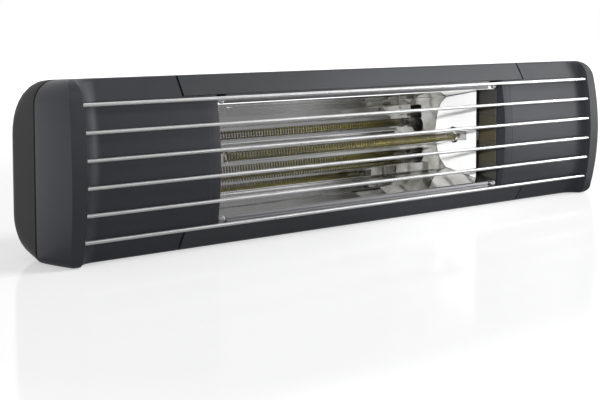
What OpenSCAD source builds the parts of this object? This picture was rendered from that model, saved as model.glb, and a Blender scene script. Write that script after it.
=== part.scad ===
// Infrared tube heater on a tilting wall bracket.
// Millimetres. X along the tube, front faces -Y, Z up, origin on the floor under the middle.

/* [Housing] */
// Overall length across the two end covers
housing_l = 625; // [580:1:720]
// Height of the housing
housing_h = 137; // [126:1:160]
// Depth from the middle guard rods to the flat back
housing_d = 90; // [86:0.5:115]
// Length of the extruded middle section
extrusion_l = 402; // [380:1:430]
// Wall of the extruded middle section
extrusion_wall = 2.5; // [1.8:0.1:3.2]
// Wall of the cast end covers
cast_wall = 3; // [2:0.1:4]
// Bow radius of the front, taken on the guard rods
front_r = 255; // [220:5:400]
// Fall of the top towards the back, in degrees
top_fall = 2.75; // [1:0.05:4]
// Radius of the upper rear edge, seen from the end
rear_top_r = 42; // [30:1:46]
// Radius of the lower rear edge, seen from the end
rear_bottom_r = 33; // [24:1:36]
// Height of the opening between the two sloping bands
opening_h = 105.6; // [98:0.2:112]
// Depth over which each band slopes back
band_run = 9.3; // [6:0.1:14]
// Rounding between each band and the flat above or below it
band_edge_r = 3; // [1:0.1:5]

/* [End covers] */
// Length between the inner edges of the two front pads
window_l = 340; // [316:1:360]
// Drop of the pads behind the rod axes
pad_drop = 5; // [3.5:0.1:8]
// Width of the raised rim that carries the rods
rim_w = 12.4; // [9:0.1:18]
// Height of the rim in front of the rod axes
rim_proud = 2.6; // [1.8:0.1:5]
// Hollow rounding between pad and rim
rim_fillet_r = 7; // [3:0.5:7.5]
// Upper corner radius of the rim, seen from the end
rim_corner_r = 15; // [8:0.5:20]
// Lower corner radius of the rim, seen from the end
rim_foot_r = 5; // [3:0.5:12]
// How far the side swells past the rim's outer edge
side_swell = 6.5; // [3:0.5:9]
// Upper corner radius of the side, seen from the front
corner_top_r = 18; // [10:0.5:24]
// Lower corner radius of the side, seen from the front
corner_bottom_r = 8; // [6:0.5:14]
// Rounding from the side to the back
side_rear_r = 16; // [10:0.5:22]
// Depth of the parting line between front and rear cover
parting_d = 42; // [34:0.5:52]
// Thickness of the seal in the parting line
seal_t = 1; // [0.6:0.1:2]
// Depth of the pad's inner edge
pad_edge_d = 7; // [5:0.5:9]

/* [Guard rods] */
// Rod spacing
rod_pitch = 20; // [17:0.1:21]
// Rod diameter
rod_dia = 3; // [2:0.1:4.5]
// Depth of the blind rod seats in the rims
rod_seat = 6; // [4:0.5:8]

/* [Reflector] */
// Clear height at the mouth
mouth_h = 88.6; // [80:0.2:94]
// Depth of the mouth behind the rod axes
mouth_d = 15; // [13:0.5:18]
// Air gap between the trough and the heat shield
back_air = 3.2; // [2:0.1:10]
// Depth of each fold between facets, as a share of the trough depth
fold_at = [0.768, 0.882, 0.942, 0.967]; // [0.6:0.001:0.99]
// Height between the upper and lower folds
fold_h = [71, 57.2, 40.9, 30.4]; // [24:0.1:76]
// Sheet thickness of the reflector
sheet_t = 0.8; // [0.5:0.1:1.2]
// Distance of each end plate from the pad's inner edge
plate_inset = 20; // [16:0.5:26]
// Set-back of the end plates behind the mouth
plate_set = 11; // [6:0.5:16]

/* [Lamp] */
// Outside diameter of the quartz tube
tube_od = 11; // [10:0.1:13]
// Wall of the quartz tube
tube_wall = 1.1; // [0.8:0.1:1.4]
// Depth of the lamp axis behind the rod axes
lamp_d = 45; // [40:0.5:50]
// Drop of the lamp axis below the middle
lamp_drop = 2.1; // [0:0.1:3]
// Thickness of the filament coil's wire
coil_wire = 1; // [0.7:0.05:1.2]
// Number of curls of the filament coil
coil_turns = 80; // [60:1:90]
// Height of the flat ceramic lamp bases
base_h = 7.6; // [6:0.1:8]
// Depth of the flat ceramic lamp bases
base_w = 12; // [10:0.5:13]

/* [Bracket] */
// Distance of the tilt axis behind the rear T-slot
pivot_reach = 16; // [15:0.5:24]
// Distance of the wall face behind the rear T-slot
wall_reach = 37; // [36:0.5:50]
// Distance between the two pivot lugs' outer faces
lug_span = 122; // [100:1:150]
// Diameter of the pivot bolts
pivot_dia = 8; // [6:0.5:9]
// Running clearance round the pivot bolts, on the radius
pivot_play = 0.05; // [0.03:0.01:0.1]
// Thickness of the bracket sheet
bracket_t = 3; // [2:0.1:3.5]
// Width of the wall plate
plate_l = 150; // [140:1:190]
// Height of the wall plate
plate_h = 56; // [46:1:60]
// Spacing of the wall holes along the plate
hole_sx = 120; // [100:1:124]
// Spacing of the wall holes up the plate
hole_sz = 34; // [28:1:36]
// Radius of the wall holes
hole_r = 3.5; // [2.5:0.1:4]

/* [Hidden] */
seat = 0.3;              // standing clearance between pieces that sit together
joint_gap = 1.2;         // open joint between covers and extrusion
rods = 6;
hh = housing_h/2;
x_end = housing_l/2;
x_seam = extrusion_l/2;
x_win = window_l/2;
x_rim = x_end - side_swell - rim_w;
x_plate = x_win - plate_inset;
x_trough = x_win - 4;
x_rail = x_win - 16;
rim_r = front_r + rim_proud;
pad_r = front_r - pad_drop;
band_z = opening_h/2;
band_d = front_r - sqrt(pad_r*pad_r - band_z*band_z);
band_u = [band_run, hh - band_z]/norm([band_run, hh - band_z]);
band_n = [-band_u.y, band_u.x];
mouth_z = mouth_h/2;
inner_d = housing_d - extrusion_wall;
shield_d = inner_d - 3.5;
back_d = shield_d - back_air - sheet_t;
trough_d = back_d - mouth_d;
facet_pts = concat([[mouth_d, mouth_z]],
    [for (i = [0:len(fold_at) - 1]) [mouth_d + trough_d*fold_at[i], fold_h[i]/2]], [[back_d, 0]]);
slot_d = 5;              // inside depth of the rear T-slot
slot_h = 18;             // inside height of the rear T-slot
slot_open = 9;           // open height of the rear T-slot
rail_d = housing_d + slot_d + 2;
fall = tan(top_fall);
top_c = [housing_d - rear_top_r, top_z(housing_d - rear_top_r) - rear_top_r/cos(top_fall)];
bottom_c = [housing_d - rear_bottom_r, rear_bottom_r - hh];
tube_r = tube_od/2;
coil_r = tube_r - tube_wall - seat - coil_wire/2;
tube_x = x_plate - 7;
coil_x = tube_x - 5;
base_x = tube_x + 35;
lamp_z = -lamp_drop;
pivot_d = rail_d + pivot_reach;
wall_d = rail_d + wall_reach;
lug_t = 6;
pivot_tail = 9;          // reach of the pivot bolts past the inner face of the lugs
lug_nut_r = 10/sqrt(3);
lug_bolt_x = lug_span/2 - lug_t - pivot_tail - lug_nut_r - seat;
ear_x = lug_span/2 + seat;
cover_screw_x = [x_seam + 22, x_end - side_rear_r - 18];
cover_screw_z = [top_c.y - 3, bottom_c.y + 6];
gland_x = x_seam + 48;
gland_z = -12;
gland_r = 10;
gland_nut_r = 13.5;
pillar_r = 4.6;
block_x = x_seam + 28;
block_z = gland_z + gland_nut_r + seat;
block_h = cover_screw_z.x - pillar_r - seat - block_z;
block_d = housing_d - cast_wall - seat - 15;
y_rods = (rim_proud - wall_d)/2;
$fn = 48;

// Working frame: X along, Y depth behind the rod axes, Z from mid-height
module place() translate([0, y_rods, hh]) children();
module side(s) { if (s > 0) children(); else mirror([1, 0, 0]) children(); }
module along_x(x0, x1) translate([x0, 0, 0]) rotate([90, 0, 90]) linear_extrude(x1 - x0) children();
module rod_y(r, y0, y1) translate([0, y0, 0]) rotate([-90, 0, 0]) cylinder(r = r, h = y1 - y0);
module rod_x(r, x0, x1) translate([x0, 0, 0]) rotate([0, 90, 0]) cylinder(r = r, h = x1 - x0);
module hex_x(af, x0, x1)
    translate([x0, 0, 0]) rotate([0, 90, 0]) cylinder(r = af/sqrt(3), h = x1 - x0, $fn = 6);
module both() { children(); mirror([0, 1]) children(); }

function rod_z(i) = ((rods - 1)/2 - i)*rod_pitch;
function bow(r, z) = front_r - sqrt(r*r - z*z);
function top_z(d) = hh - (d - band_d - band_run)*fall;

// Sections, drawn as depth against height

// Everything behind one sloping band, moved in by t
module band_back(t) {
    a = [band_d, band_z] - t*band_n;
    polygon([a - 300*band_u, a + 300*band_u, a + 300*band_u - 500*band_n, a - 300*band_u - 500*band_n]);
}

// Material taken off the corner between a band and its flat, leaving a rounded edge
module band_edge() {
    lift = 0.05;
    k = [band_d + band_run, hh];
    s = (hh + lift - band_edge_r - band_z + band_edge_r*band_n.y)/band_u.y;
    t1 = [band_d, band_z] + s*band_u;
    c = t1 - band_edge_r*band_n;
    difference() {
        polygon([t1, t1 + band_n, k + [0, 4], [c.x, hh + 4], [c.x, hh - band_edge_r/2]]);
        translate(c) circle(r = band_edge_r);
        polygon([t1, c, [c.x, hh - band_edge_r/2]]);
    }
}

module rear_round(t) {
    n = [sin(top_fall), cos(top_fall)];
    d0 = -6;
    polygon([[d0, t - hh], [bottom_c.x, t - hh], [housing_d - t, bottom_c.y], [housing_d - t, top_c.y],
             top_c + (rear_top_r - t)*n, [d0, top_z(d0) - t/cos(top_fall)]]);
    translate(top_c) circle(r = rear_top_r - t);
    translate(bottom_c) circle(r = rear_bottom_r - t);
}

// Outline of the closed housing, moved in by t
module housing_section(t) {
    difference() {
        intersection() {
            rear_round(t);
            translate([front_r, 0]) circle(r = pad_r - t, $fn = 360);
            band_back(t);
            mirror([0, 1]) band_back(t);
        }
        if (t == 0) both() band_edge();
    }
}

// End form, right-hand side, moved in by t

module end_hull(t) {
    d1 = parting_d;
    hull() {
        for (e = [[-5, x_end - side_swell], [d1, x_end]]) {
            translate([e.y - corner_top_r, 0, top_z(e.x) - corner_top_r])
                rod_y(corner_top_r - t, e.x - 0.5, e.x + 0.5);
            translate([e.y - corner_bottom_r, 0, corner_bottom_r - hh])
                rod_y(corner_bottom_r - t, e.x - 0.5, e.x + 0.5);
        }
        rounded_disc(top_c, rear_top_r, t);
        rounded_disc(bottom_c, rear_bottom_r, t);
        along_x(x_win - 12, x_win - 11) rear_round(t);
    }
}

// Disc across X with a rounded rim, the rear corner of the end form
module rounded_disc(c, r, t) translate([x_end - side_rear_r - 0.5, c.x, c.y]) rotate([0, 90, 0])
    rotate_extrude($fn = 32) intersection() {
        translate([r - side_rear_r, 0]) circle(r = side_rear_r - t, $fn = 32);
        translate([0, -r]) square([2*r, 2*r]);
    }

// All that lies in front of the rim's face
function rim_centre(r, s) = let (z = hh + 0.6 - r) [front_r - sqrt(pow(rim_r - r, 2) - z*z), s*z];

module rim_front() {
    axis = [front_r, 0];
    top = rim_centre(rim_corner_r, 1);
    foot = rim_centre(rim_foot_r, -1);
    along_x(x_seam - 40, x_end + 10) difference() {
        union() {
            translate([-30, 0]) square([30 + top.x, hh + 10]);
            translate([-30, -hh - 10]) square([30 + foot.x, hh + 10]);
        }
        translate(top) circle(r = rim_corner_r, $fn = 72);
        translate(foot) circle(r = rim_foot_r, $fn = 48);
        intersection() {
            translate(axis) circle(r = rim_r, $fn = 360);
            polygon([axis, axis + 1.2*(top - axis), axis + 1.2*(foot - axis)]);
        }
    }
}

// All that lies in front of the pad and the hollow rounding up to the rim
module pad_front() {
    x_f = x_rim - rim_fillet_r;
    translate([0, front_r, 0]) rotate([0, 90, 0]) rotate([0, 0, -112])
        rotate_extrude(angle = 44, $fn = 360) {
        translate([pad_r, x_win - 40]) square([40, x_f - x_win + 40]);
        translate([pad_r + rim_fillet_r, x_f]) circle(r = rim_fillet_r);
        translate([pad_r + rim_fillet_r, x_f]) square([40 - rim_fillet_r, rim_fillet_r]);
    }
}

module band_front(t, x1) {
    along_x(x_seam - 40, x1) both() {
        difference() {
            translate([-40, band_z]) square([80, 40]);
            band_back(t);
        }
        if (t == 0) band_edge();
    }
}

module cover_cavity() {
    difference() {
        end_hull(cast_wall);
        ahead_of(pad_r - cast_wall, x_end + 10);
        ahead_of(pad_r - pad_edge_d, x_win + 3);
        band_front(cast_wall, x_end + 10);
    }
}

// All that lies in front of a bow of radius r, as far as x1
module ahead_of(r, x1) along_x(x_win - 30, x1) difference() {
    translate([-40, -hh]) square([80, 2*hh]);
    translate([front_r, 0]) circle(r = r, $fn = 360);
}

// Screw pillars of one cover half, cut to the cover by the caller
module pillars(y0, y1) {
    for (x = cover_screw_x, z = cover_screw_z) translate([x, 0, z]) rod_y(pillar_r, y0, y1);
}

module screw_holes(r, y0, y1) {
    for (x = cover_screw_x, z = cover_screw_z) translate([x, 0, z]) rod_y(r, y0, y1);
}

module front_slab(x0, y0, y1) translate([x0, y0, -hh - 10]) cube([x_end + 20 - x0, y1 - y0, 2*hh + 20]);

// Cast front of one end: pad, bands, raised rim and front half of the side
module end_cover_solid() {
    y1 = parting_d - seal_t/2;
    difference() {
        union() {
            difference() {
                intersection() {
                    end_hull(0);
                    union() {
                        front_slab(x_seam + joint_gap/2, -20, y1);
                        translate([x_win, -20, seat - band_z])
                            cube([x_seam - x_win + 5, 20 + y1, 2*(band_z - seat)]);
                    }
                }
                rim_front();
                pad_front();
                band_front(0, x_rim - 0.5);
                cover_cavity();
            }
            pillars(bow(pad_r - cast_wall/2, cover_screw_z.y), y1);
        }
        for (i = [0:rods - 1]) translate([0, bow(front_r, rod_z(i)), rod_z(i)])
            rod_x(rod_dia/2 + 0.1, x_rim - rim_fillet_r, x_rim + rod_seat);
        screw_holes(1.75, y1 - 18, y1 + 1);
    }
}

// Cast rear of one end
module rear_cover_solid(inlet) {
    y0 = parting_d + seal_t/2;
    difference() {
        union() {
            difference() {
                intersection() {
                    end_hull(0);
                    front_slab(x_seam + joint_gap/2, y0, housing_d + 10);
                }
                end_hull(cast_wall);
            }
            pillars(y0, housing_d - cast_wall/2);
        }
        screw_holes(2.2, y0 - 1, housing_d + 1);
        screw_holes(4.1, housing_d - 4, housing_d + 1);
        if (inlet) translate([gland_x, 0, gland_z]) rod_y(gland_r + 0.1, housing_d - 10, housing_d + 1);
    }
}

// Seal pressed between the cover halves, set back from the outside
module cover_seal_solid() {
    intersection() {
        difference() {
            end_hull(1.2);
            end_hull(cast_wall - 0.2);
        }
        front_slab(x_seam + joint_gap/2, parting_d - seal_t/2, parting_d + seal_t/2);
    }
}

// Extruded middle: bands, top, bottom and back in one profile with screw ports and a T-slot
module body_section() {
    port_d = parting_d - 12;
    port_z = hh - extrusion_wall - 4.6;
    difference() {
        union() {
            difference() {
                housing_section(0);
                housing_section(extrusion_wall);
                translate([-10, -band_z]) square([50, 2*band_z]);
            }
            for (s = [-1, 1]) {
                translate([port_d, s*port_z]) circle(r = 4.2, $fn = 32);
                translate([port_d - 2, s*(port_z + 3.2) - 2.4]) square([4, 4.8]);
                translate([shield_d + 0.8 + seat, s*23.5 - 1.5]) square([inner_d - shield_d, 3]);
            }
            translate([housing_d - 1, -slot_h/2 - 2]) square([slot_d + 3, slot_h + 4]);
        }
        for (s = [-1, 1]) translate([port_d, s*port_z]) circle(r = 2, $fn = 32);
        translate([housing_d, -slot_h/2]) square([slot_d, slot_h]);
        translate([housing_d + 1, -slot_open/2]) square([40, slot_open]);
    }
}

module body_extrusion() color("#44464c") place() along_x(-x_seam, x_seam) body_section();

module end_cover_left() color("#3d3f45") place() side(-1) end_cover_solid();
module end_cover_right() color("#3d3f45") place() side(1) end_cover_solid();
module rear_cover_left() color("#3a3b3e") place() side(-1) rear_cover_solid(false);
module rear_cover_right() color("#3a3b3e") place() side(1) rear_cover_solid(true);
module cover_seal_left() color("#141414") place() side(-1) cover_seal_solid();
module cover_seal_right() color("#141414") place() side(1) cover_seal_solid();

// Reflector: folded sheet with five facets a side and a flange along each mouth edge
function unit(v) = v/norm(v);
function left_of(v) = [-v.y, v.x];
function mitre(p, i, t) = let (
    a = unit(p[i] - p[max(i - 1, 0)] + (i == 0 ? p[1] - p[0] : [0, 0])),
    b = i == len(p) - 1 ? a : unit(p[i + 1] - p[i]),
    m = unit(left_of(a) + left_of(b))) p[i] + t*m/(m*left_of(a));

// A line of points from the top to the middle, and on to the bottom as its mirror image
function both_halves(p) = concat(p, [for (i = [len(p) - 2:-1:0]) [p[i].x, -p[i].y]]);

module reflector() color("#c9cacc") place() {
    inner = both_halves(concat([[mouth_d, mouth_z + 6.2]], facet_pts));
    outer = [for (i = [len(inner) - 1:-1:0]) mitre(inner, i, sheet_t)];
    difference() {
        along_x(-x_trough, x_trough) polygon(concat(inner, outer));
        for (sx = [-1, 1], sz = [-1, 1]) {
            translate([sx*(x_trough - 3.2), 0, sz*(mouth_z + 3.2)]) rod_y(1.7, mouth_d - 2, mouth_d + 3);
            translate([sx*(x_plate - 19) - 2, mouth_d + trough_d*0.5 - 2, sz > 0 ? 0 : -hh]) cube([4, 4, hh]);
        }
    }
}

// White end plate of the trough with the keyhole for the lamp base
module reflector_end_solid() {
    inner = both_halves(facet_pts);
    along_x(x_plate, x_plate + 1) difference() {
        polygon([for (i = [0:len(inner) - 1]) mitre(inner, i, -seat)]);
        translate([0, -hh]) square([mouth_d + plate_set, 2*hh]);
        translate([lamp_d + 10, lamp_z]) circle(r = 8);
        translate([lamp_d - base_w/2 - 1, lamp_z - base_h/2 - 0.5]) square([base_w + 4, base_h + 1]);
    }
}

module reflector_end_left() color("#e8e8e6") place() side(-1) reflector_end_solid();
module reflector_end_right() color("#e8e8e6") place() side(1) reflector_end_solid();

// Dark wall between pad edge and trough, with a tab behind each flange end
module side_shield_solid() {
    r = pad_r - pad_edge_d - seat;
    x1 = x_win - seat;
    tab_d = mouth_d + sheet_t + seat;
    tab_z = mouth_z + 3.2;
    along_x(x1 - 1.2, x1) difference() {
        intersection() {
            translate([front_r, 0]) circle(r = r, $fn = 360);
            translate([0, seat - band_z + 2]) square([lamp_d + base_w/2, 2*(band_z - seat - 2)]);
        }
        translate([lamp_d - base_w/2 - 1.5, lamp_z - base_h/2 - 1.5]) square([base_w + 4, base_h + 3]);
    }
    for (s = [-1, 1]) difference() {
        translate([x_trough - 7, tab_d, s*tab_z - 2.4]) cube([x1 - x_trough + 7, 1.6, 4.8]);
        translate([x_trough - 3.2, 0, s*tab_z]) rod_y(1.7, tab_d - 1, tab_d + 3);
    }
}
module side_shield_left() color("#2a2a2b") place() side(-1) side_shield_solid();
module side_shield_right() color("#2a2a2b") place() side(1) side_shield_solid();

// Ridged strip that closes the slot between band and mouth
module lip_section() {
    a = [band_d + 1.2, band_z - seat];
    b = [mouth_d - seat, mouth_z + 0.7];
    difference() {
        polygon([a, a + [10, 0], a + [10, -1.4], [b.x, a.y - 1.4], b, b - [0.8, 0]]);
        for (k = [0.35, 0.65]) translate(a + k*(b - [0.8, 0] - a)) circle(r = 0.5, $fn = 24);
    }
}
module reflector_lip_top() color("#b9bab8") place() along_x(-x_rail, x_rail) lip_section();
module reflector_lip_bottom() color("#b9bab8") place() along_x(-x_rail, x_rail) mirror([0, 1]) lip_section();

module at_lamp() place() translate([0, lamp_d, lamp_z]) children();

// Quartz tube with a flat pinch at each end
module lamp_tube() color("#dfe6ea", 0.5) at_lamp() difference() {
    union() {
        rod_x(tube_r, -tube_x, tube_x);
        for (s = [-1, 1]) translate([s*(tube_x + 4) - 5, -4, -1.5]) cube([10, 8, 3]);
    }
    rod_x(tube_r - tube_wall, -tube_x + 1.5, tube_x - 1.5);
}

// Filament: one wound tube whose ends run in to the axis and straight into the pinches
coil_lead = 3.5;
coil_rings = 8;
coil_count = coil_turns*coil_rings;
function coil_pt(i) = let (
    n = coil_count, ramp = coil_rings/2,
    k = min(1, i/ramp, (n - i)/ramp), r = coil_r*max(k, 0.02), a = 360*i/coil_rings)
    [-coil_x + 2*coil_x*i/n, r*cos(a), r*sin(a)];
coil_path = concat([[-coil_x - coil_lead, 0, 0], [-coil_x - coil_wire, 0, 0]],
    [for (i = [0:coil_count]) coil_pt(i)], [[coil_x + coil_wire, 0, 0], [coil_x + coil_lead, 0, 0]]);
coil_gap = min([for (i = [coil_rings:coil_count - 2*coil_rings], j = [coil_rings - 1:coil_rings + 1])
    norm(coil_pt(i) - coil_pt(i + j))]) - coil_wire;
echo(str("filament least gap to itself ", coil_gap, " mm"));

coil_n = len(coil_path);
coil_sides = 6;
function coil_dir(i) = unit(coil_path[min(i + 1, coil_n - 1)] - coil_path[max(i - 1, 0)]);
function coil_out(i) = let (a = 360*(i - 2)/coil_rings, q = [0, cos(a), sin(a)], t = coil_dir(i))
    unit(q - (q*t)*t);

module lamp_filament() color("#8a7a3c") at_lamp() polyhedron(
    points = [for (i = [0:coil_n - 1], j = [0:coil_sides - 1])
        let (t = coil_dir(i), u = coil_out(i), v = cross(t, u), a = 360*j/coil_sides)
            coil_path[i] + coil_wire/2*(cos(a)*u + sin(a)*v)],
    faces = concat([[for (j = [coil_sides - 1:-1:0]) j]],
        [[for (j = [0:coil_sides - 1]) (coil_n - 1)*coil_sides + j]],
        [for (i = [0:coil_n - 2], j = [0:coil_sides - 1], h = [0, 1])
            let (k = (j + 1) % coil_sides, a = i*coil_sides, b = a + coil_sides)
                h == 0 ? [a + j, a + k, b + k] : [a + j, b + k, b + j]]));

// Flat ceramic base with a slot for the pinch and a bore for the lead
module lamp_base_solid() difference() {
    translate([tube_x + seat, -base_w/2, -base_h/2]) cube([base_x - tube_x - seat, base_w, base_h]);
    translate([tube_x, -4.2, -1.7]) cube([9.4, 8.4, 3.4]);
    rod_x(1.8, base_x - 8, base_x + 1);
}
module lamp_base_left() color("#9c9d9b") at_lamp() side(-1) lamp_base_solid();
module lamp_base_right() color("#9c9d9b") at_lamp() side(1) lamp_base_solid();

// Sheet bracket with a forked holder, standing on the T-slot
module lamp_holder_solid() {
    x0 = base_x - 5;
    foot_d = inner_d - seat;
    difference() {
        union() {
            translate([x0, lamp_d - base_w/2 - 4, -slot_h/2 - 2])
                cube([1.5, foot_d - lamp_d + base_w/2 + 4, slot_h + 4]);
            translate([x0, foot_d - 1.5, -slot_h/2 - 2]) cube([16, 1.5, slot_h + 4]);
        }
        translate([x0 - 1, lamp_d - base_w/2 - 5, lamp_z - base_h/2 - seat])
            cube([4, base_w + 5 + seat, base_h + 2*seat]);
        translate([x0 + 9, 0, 0]) rod_y(2.2, foot_d - 3, foot_d + 1);
    }
}
module lamp_holder_left() color("#8f9193") place() side(-1) lamp_holder_solid();
module lamp_holder_right() color("#8f9193") place() side(1) lamp_holder_solid();

// Guard rods, plugged into the rims at both ends
module guard_rod(i) color("#b4b6b8") place() translate([0, bow(front_r, rod_z(i)), rod_z(i)])
    rod_x(rod_dia/2, -(x_rim + rod_seat - seat), x_rim + rod_seat - seat);
module guard_rod_1() guard_rod(0);
module guard_rod_2() guard_rod(1);
module guard_rod_3() guard_rod(2);
module guard_rod_4() guard_rod(3);
module guard_rod_5() guard_rod(4);
module guard_rod_6() guard_rod(5);

module heat_shield() color("#a9abad") place() translate([6 - x_trough, shield_d, -30])
    cube([2*x_trough - 12, 0.8, 60]);

module terminal_block() color("#d8d4c6") place() translate([block_x, block_d, block_z]) difference() {
    cube([40, 15, block_h]);
    for (k = [0:2]) translate([8 + 12*k, 0, block_h/2]) {
        rod_y(2.5, -1, 4);
        translate([0, 10, 0]) cylinder(r = 2, h = block_h + 4, center = true, $fn = 24);
    }
}

// Insulated leads from the lamp bases to the terminal block
module wire(pts, r) {
    for (i = [0:len(pts) - 2]) {
        v = pts[i + 1] - pts[i];
        translate(pts[i]) rotate([0, acos(v.z/norm(v)), atan2(v.y, v.x)])
            cylinder(r = r, h = norm(v), $fn = 20);
    }
    for (i = [1:len(pts) - 2]) translate(pts[i]) sphere(r = r + 0.6, $fn = 20);
}
lead_r = 1.5;
lead_d = block_d + 10;
lead_in = block_x - seat;
lead_z = [block_z + 0.75*block_h, block_z + 0.25*block_h];
lead_low = [lamp_d + 25, 22.5 - hh];
module lamp_lead_right() color("#e4e2da") place() wire([[base_x - 6, lamp_d, lamp_z],
    [base_x + 10, lamp_d, lamp_z], [lead_in - 12, lead_d, lead_z.x], [lead_in, lead_d, lead_z.x]], lead_r);
module lamp_lead_left() color("#e4e2da") place() wire([[6 - base_x, lamp_d, lamp_z],
    [-base_x - 8, lamp_d, lamp_z], [-base_x - 14, lead_low.x, lead_low.y],
    [lead_in - 26, lead_low.x, lead_low.y], [lead_in - 10, lead_d, lead_z.y],
    [lead_in, lead_d, lead_z.y]], lead_r);

// Inlet gland in the back of the right-hand cover, with its locknut
module cable_gland() color("#1c1c1d") place() translate([gland_x, 0, gland_z]) {
    difference() {
        union() {
            rod_y(gland_r, housing_d - cast_wall - 7, housing_d + 1);
            translate([0, housing_d + 5, 0]) rotate([90, 0, 0]) cylinder(r = 13, h = 5, $fn = 6);
            rod_y(11, housing_d + 5, housing_d + 14);
            translate([0, housing_d + 14, 0]) rotate([-90, 0, 0]) cylinder(r1 = 11, r2 = 8, h = 5);
        }
        rod_y(4.5, housing_d - 20, housing_d + 30);
    }
    difference() {
        translate([0, housing_d - cast_wall - seat, 0]) rotate([90, 0, 0])
            cylinder(r = gland_nut_r, h = 4, $fn = 6);
        rod_y(gland_r - 0.5, housing_d - 20, housing_d + 30);
    }
}

// Pan heads with cross slots, axis along depth, head facing the front
module pan_screw(r, head_r, head_h, l) difference() {
    union() {
        rod_y(r, 0, l);
        rod_y(head_r, -head_h, 0);
    }
    for (a = [0, 90]) rotate([0, a, 0]) translate([-head_r*0.6, -head_h - 1, -0.35])
        cube([head_r*1.2, 1.8, 0.7]);
}
module window_screws() color("#c5c6c8") place()
    for (sx = [-1, 1], sz = [-1, 1]) translate([sx*(x_trough - 3.2), mouth_d, sz*(mouth_z + 3.2)])
        pan_screw(1.5, 2.8, 1.6, 6);

module cover_screws(s) color("#6e7074") place() side(s) for (x = cover_screw_x, z = cover_screw_z)
    translate([x, housing_d - 4, z]) mirror([0, 1, 0])
        pan_screw(1.7, 3.6, 2.4, housing_d - 4 - parting_d + seal_t/2 + 14);
module cover_screws_left() cover_screws(-1);
module cover_screws_right() cover_screws(1);

// Lug on the T-slot: foot plate and an ear with the pivot bore
module pivot_lug_solid() {
    x1 = lug_span/2;
    difference() {
        union() {
            translate([lug_bolt_x - 8, rail_d, -13]) cube([x1 - lug_bolt_x + 8, 5, 26]);
            translate([x1 - lug_t, rail_d, -11]) cube([lug_t, pivot_reach, 22]);
            translate([0, pivot_d, 0]) rod_x(11, x1 - lug_t, x1);
        }
        translate([0, pivot_d, 0]) rod_x(pivot_dia/2 + pivot_play, x1 - 20, x1 + 1);
        translate([lug_bolt_x, 0, 0]) rod_y(3.2, rail_d - 1, rail_d + 6);
    }
}
module pivot_lug_left() color("#5a5c60") place() side(-1) pivot_lug_solid();
module pivot_lug_right() color("#5a5c60") place() side(1) pivot_lug_solid();

// T-bolts of the lugs with their nuts
module lug_bolts() color("#9a9c9f") place() for (s = [-1, 1]) translate([s*lug_bolt_x, 0, 0]) {
    translate([-5, housing_d + seat, -slot_h/2 + 0.5]) cube([10, slot_d - 2*seat, slot_h - 1]);
    rod_y(3, housing_d + 1, rail_d + 13);
    translate([0, rail_d + 5, 0]) rotate([-90, 0, 0]) cylinder(r = lug_nut_r, h = 5, $fn = 6);
}

// Pivot bolts: head outside the bracket ear, nut inside the lug
module pivot_bolts() color("#9a9c9f") place() translate([0, pivot_d, 0]) for (s = [-1, 1]) side(s) {
    x1 = lug_span/2;
    rod_x(pivot_dia/2, x1 - lug_t - pivot_tail, ear_x + bracket_t + seat + 1);
    hex_x(pivot_dia*1.6, ear_x + bracket_t + seat, ear_x + bracket_t + seat + 5.5);
    hex_x(pivot_dia*1.6, x1 - lug_t - 6.5, x1 - lug_t);
}

// Bent sheet bracket: wall plate and two ears
module wall_bracket() color("#4a4c51") place() difference() {
    union() {
        translate([0, wall_d - bracket_t, 0]) rotate([-90, 0, 0]) linear_extrude(bracket_t) {
            square([plate_l - 16, plate_h], center = true);
            square([plate_l, plate_h - 16], center = true);
            for (x = [-1, 1], z = [-1, 1]) translate([x*(plate_l/2 - 8), z*(plate_h/2 - 8)]) circle(r = 8);
        }
        for (s = [-1, 1]) side(s) along_x(ear_x, ear_x + bracket_t) {
            translate([pivot_d, 0]) circle(r = 12);
            translate([pivot_d, -12]) square([wall_reach - pivot_reach - 1, 24]);
        }
    }
    for (s = [-1, 1]) side(s) translate([0, pivot_d, 0])
        rod_x(pivot_dia/2 + pivot_play, ear_x - 1, ear_x + bracket_t + 1);
    for (x = [-1, 1], z = [-1, 1]) translate([x*hole_sx/2, 0, z*hole_sz/2])
        rod_y(hole_r, wall_d - bracket_t - 1, wall_d + 1);
}

body_extrusion();
end_cover_left();
end_cover_right();
rear_cover_left();
rear_cover_right();
cover_seal_left();
cover_seal_right();
reflector();
reflector_end_left();
reflector_end_right();
side_shield_left();
side_shield_right();
reflector_lip_top();
reflector_lip_bottom();
lamp_tube();
lamp_filament();
lamp_base_left();
lamp_base_right();
lamp_holder_left();
lamp_holder_right();
guard_rod_1();
guard_rod_2();
guard_rod_3();
guard_rod_4();
guard_rod_5();
guard_rod_6();
heat_shield();
terminal_block();
lamp_lead_left();
lamp_lead_right();
cable_gland();
window_screws();
cover_screws_left();
cover_screws_right();
pivot_lug_left();
pivot_lug_right();
lug_bolts();
pivot_bolts();
wall_bracket();
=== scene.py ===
"""Looks of an infrared tube heater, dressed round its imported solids. Metres, in the frame of the solids."""

import math

import bmesh
import bpy
from bpy.props import FloatProperty, FloatVectorProperty, IntProperty, PointerProperty
from mathutils import Matrix, Vector


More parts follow.
